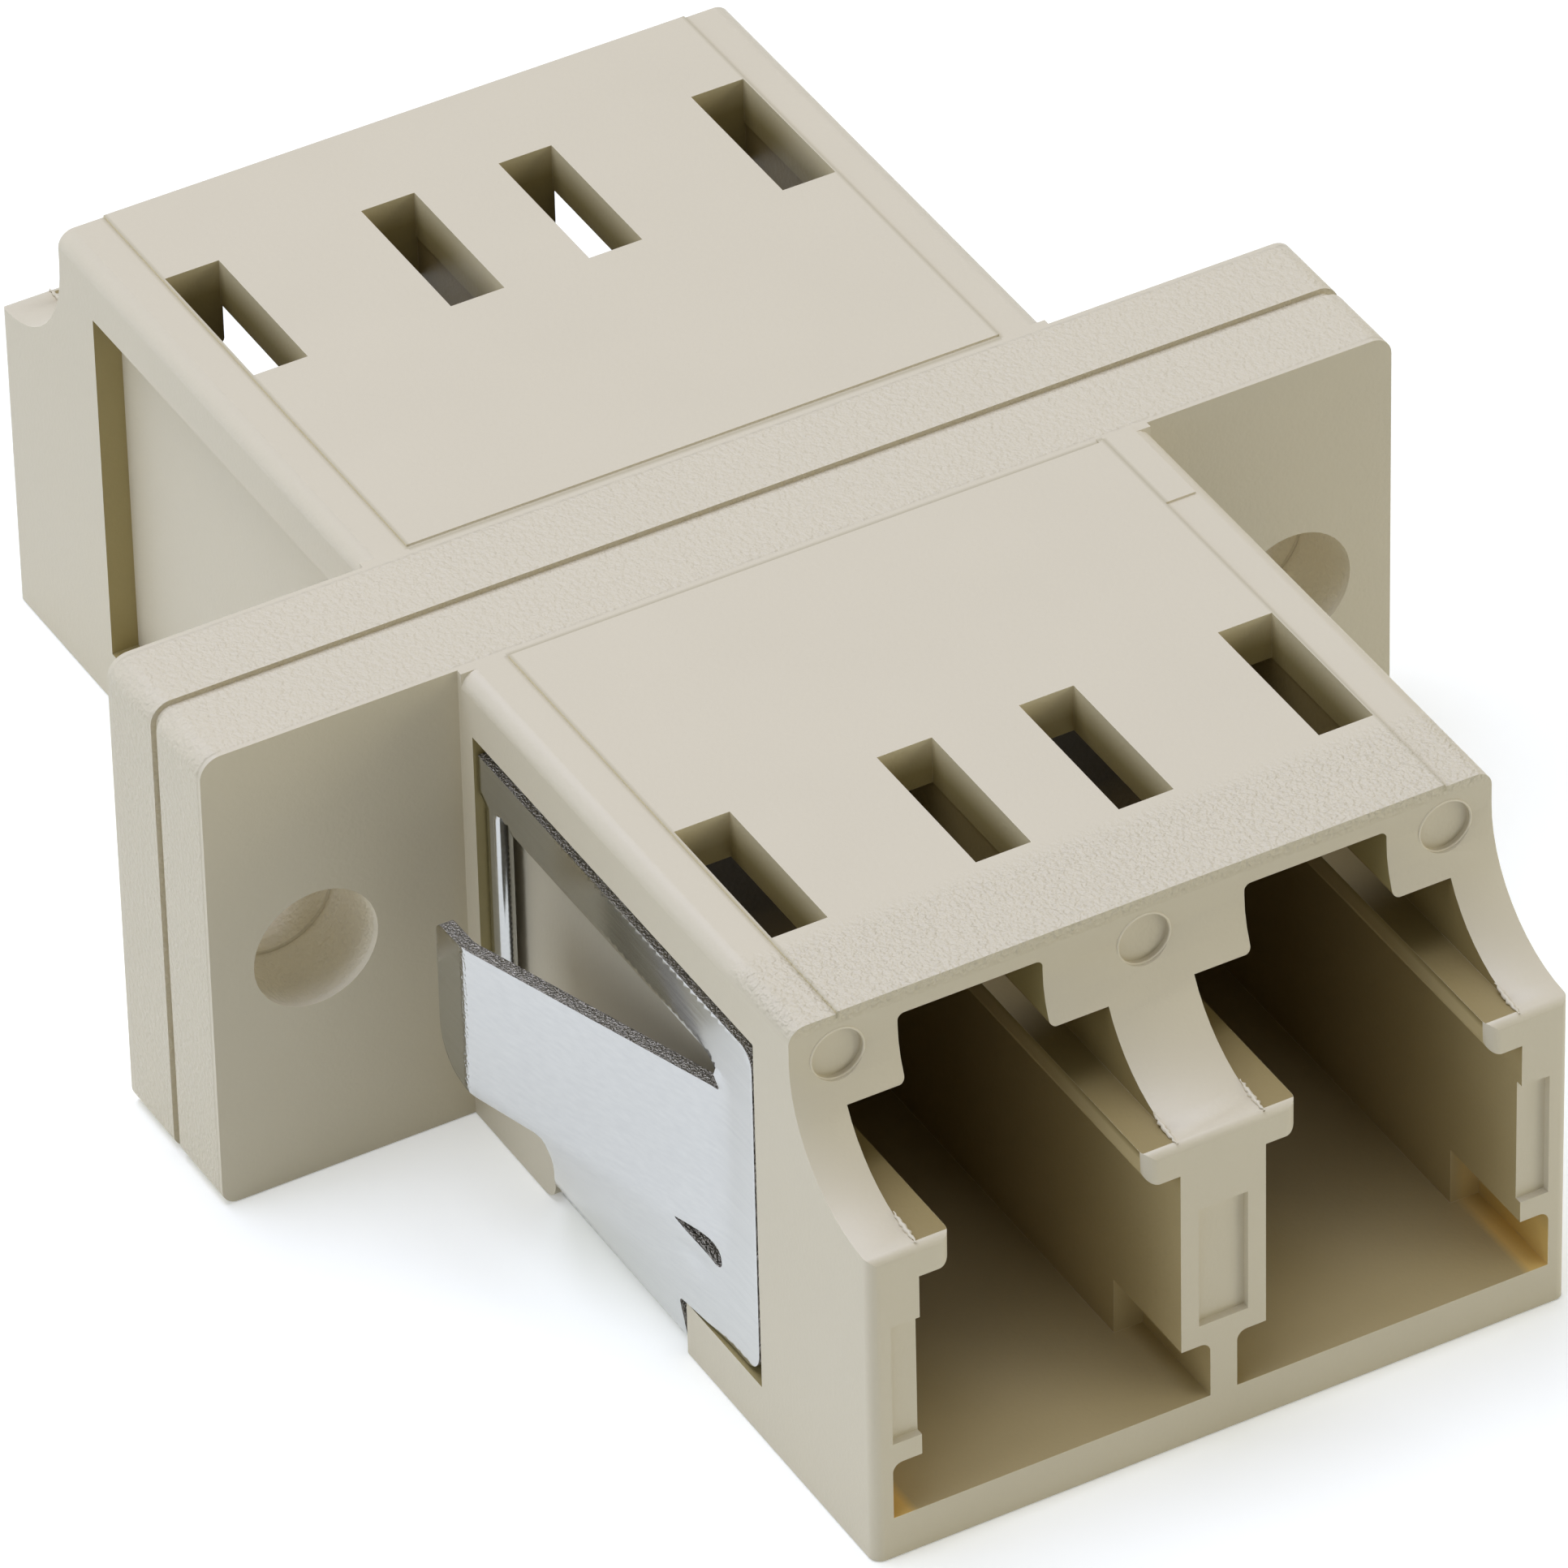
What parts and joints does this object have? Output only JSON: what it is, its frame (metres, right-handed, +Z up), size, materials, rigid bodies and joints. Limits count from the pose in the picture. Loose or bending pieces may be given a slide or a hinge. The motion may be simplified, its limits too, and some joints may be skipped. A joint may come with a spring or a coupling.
{
  "type": "duplex fibre optic coupler",
  "caption": "Flanged inline coupler for small-form duplex fibre plugs, with open port mouths at each end, a welded flange with screw holes and a spring clip that holds it in a panel cut-out.",
  "frame": {"origin": "middle of the underside, on the weld plane between the two moulded halves", "axes": "+X along the flange, +Y along the plugs from the front half (with the clip) to the rear half, +Z up towards the latch windows"},
  "size_m": [0.022, 0.0292, 0.0091],
  "materials": {
    "beige_plastic": "matte moulded beige, slightly translucent",
    "spring_steel": "bright rolled sheet",
    "holder_plastic": "matte moulded beige",
    "sleeve_ceramic": "ground white ceramic"
  },
  "bodies": {
    "root": {"front_housing": "beige_plastic", "rear_housing": "beige_plastic", "spring_clip": "spring_steel", "sleeve_holder_front_left": "holder_plastic", "sleeve_holder_front_right": "holder_plastic", "sleeve_holder_rear_left": "holder_plastic", "sleeve_holder_rear_right": "holder_plastic", "split_sleeve_left": "sleeve_ceramic", "split_sleeve_right": "sleeve_ceramic"}
  },
  "joints": []
}
